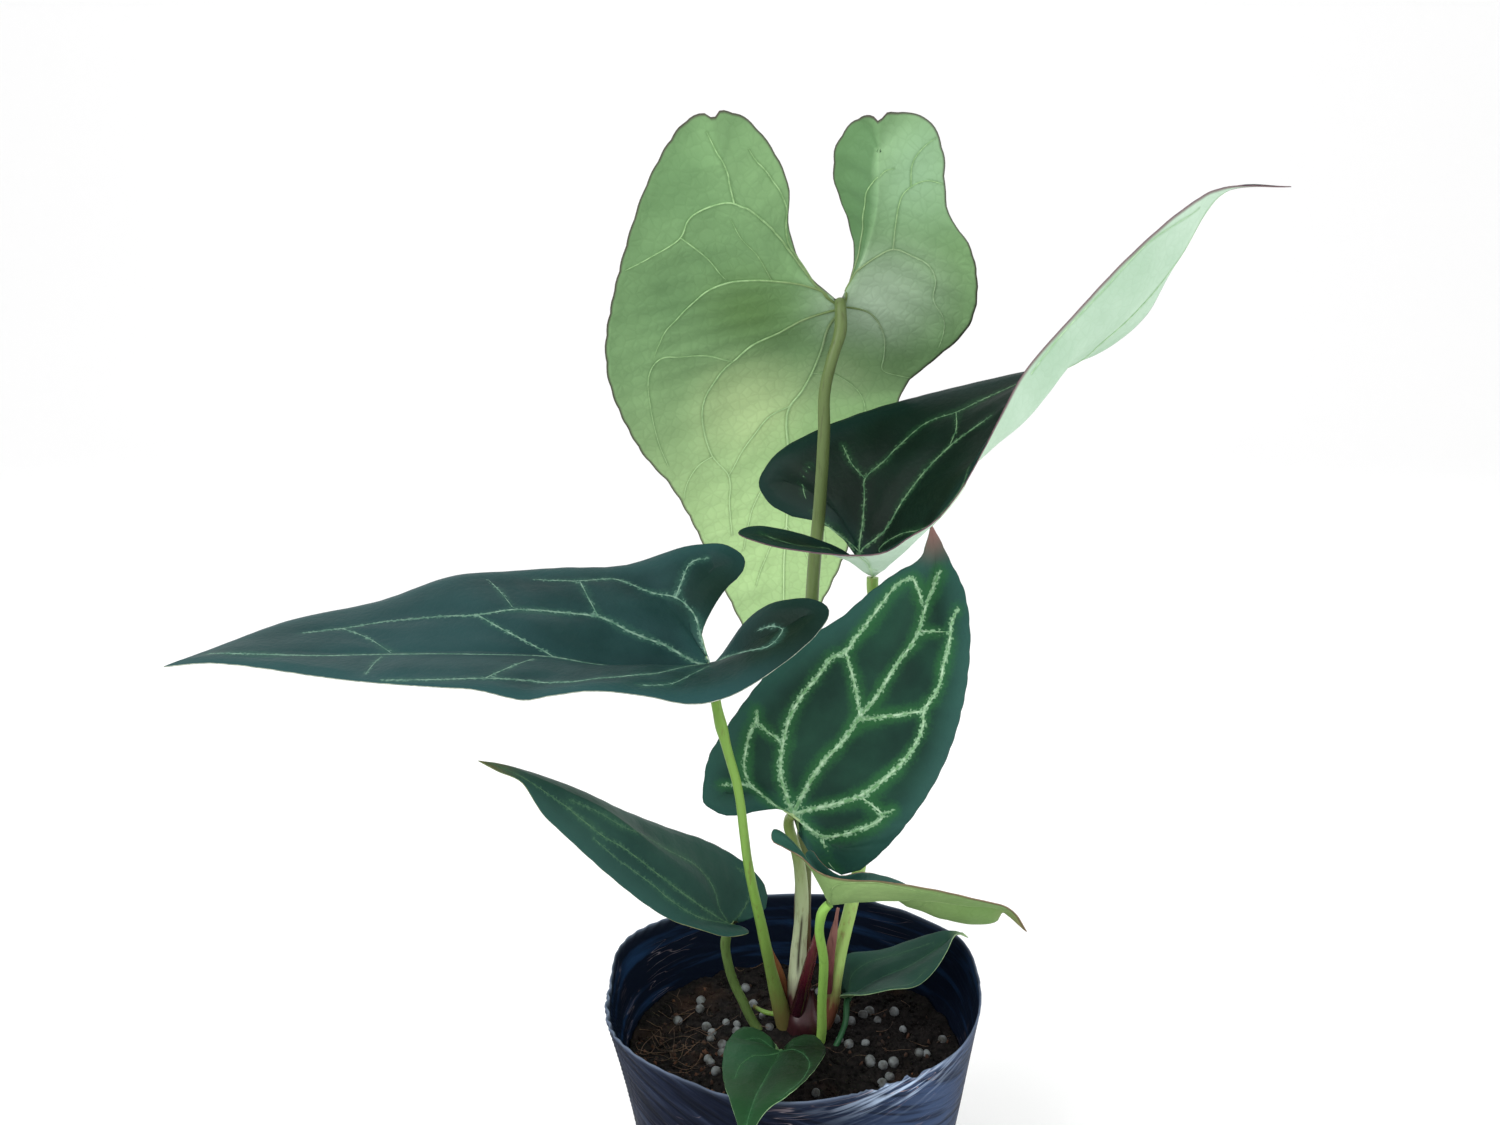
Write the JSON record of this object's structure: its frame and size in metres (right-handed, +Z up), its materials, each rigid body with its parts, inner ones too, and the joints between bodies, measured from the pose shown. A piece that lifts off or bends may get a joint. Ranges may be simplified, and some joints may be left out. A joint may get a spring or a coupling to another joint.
{
  "type": "potted anthurium plant",
  "caption": "Potted anthurium: large heart-shaped leaves with pale veins on long petioles, rising from one short stem in a soft black nursery pot.",
  "frame": {"origin": "centre of the pot's flat base, on the surface it stands on", "axes": "+Z up, -Y toward the viewer of the picture, +X to the viewer's right"},
  "size_m": [0.3361, 0.1697, 0.3999],
  "materials": {
    "pot_plastic": "satin",
    "potting_mix": "matt",
    "stem_skin": "matt",
    "red_sheath": "gloss",
    "dry_sheath": "matt",
    "leaf_dark": "satin",
    "leaf_green": "satin",
    "leaf_underside": "satin",
    "petiole_olive": "satin",
    "petiole_light": "satin",
    "petiole_dark": "satin"
  },
  "bodies": {
    "root": {"pot": "pot_plastic", "potting_mix": "potting_mix", "crown": "stem_skin", "new_shoot": "red_sheath", "sheath_right": "dry_sheath", "sheath_left": "dry_sheath", "leaf_back_blade": "leaf_underside", "leaf_back_petiole": "petiole_olive", "leaf_right_blade": "leaf_dark", "leaf_right_petiole": "petiole_light", "leaf_long_blade": "leaf_dark", "leaf_long_petiole": "petiole_light", "leaf_bright_blade": "leaf_green", "leaf_bright_petiole": "petiole_olive", "leaf_low_left_blade": "leaf_dark", "leaf_low_left_petiole": "petiole_light", "leaf_folded_blade": "leaf_underside", "leaf_folded_petiole": "petiole_light", "leaf_inner_blade": "leaf_green", "leaf_inner_petiole": "petiole_dark", "leaf_front_blade": "leaf_green", "leaf_front_petiole": "petiole_dark"}
  },
  "joints": []
}
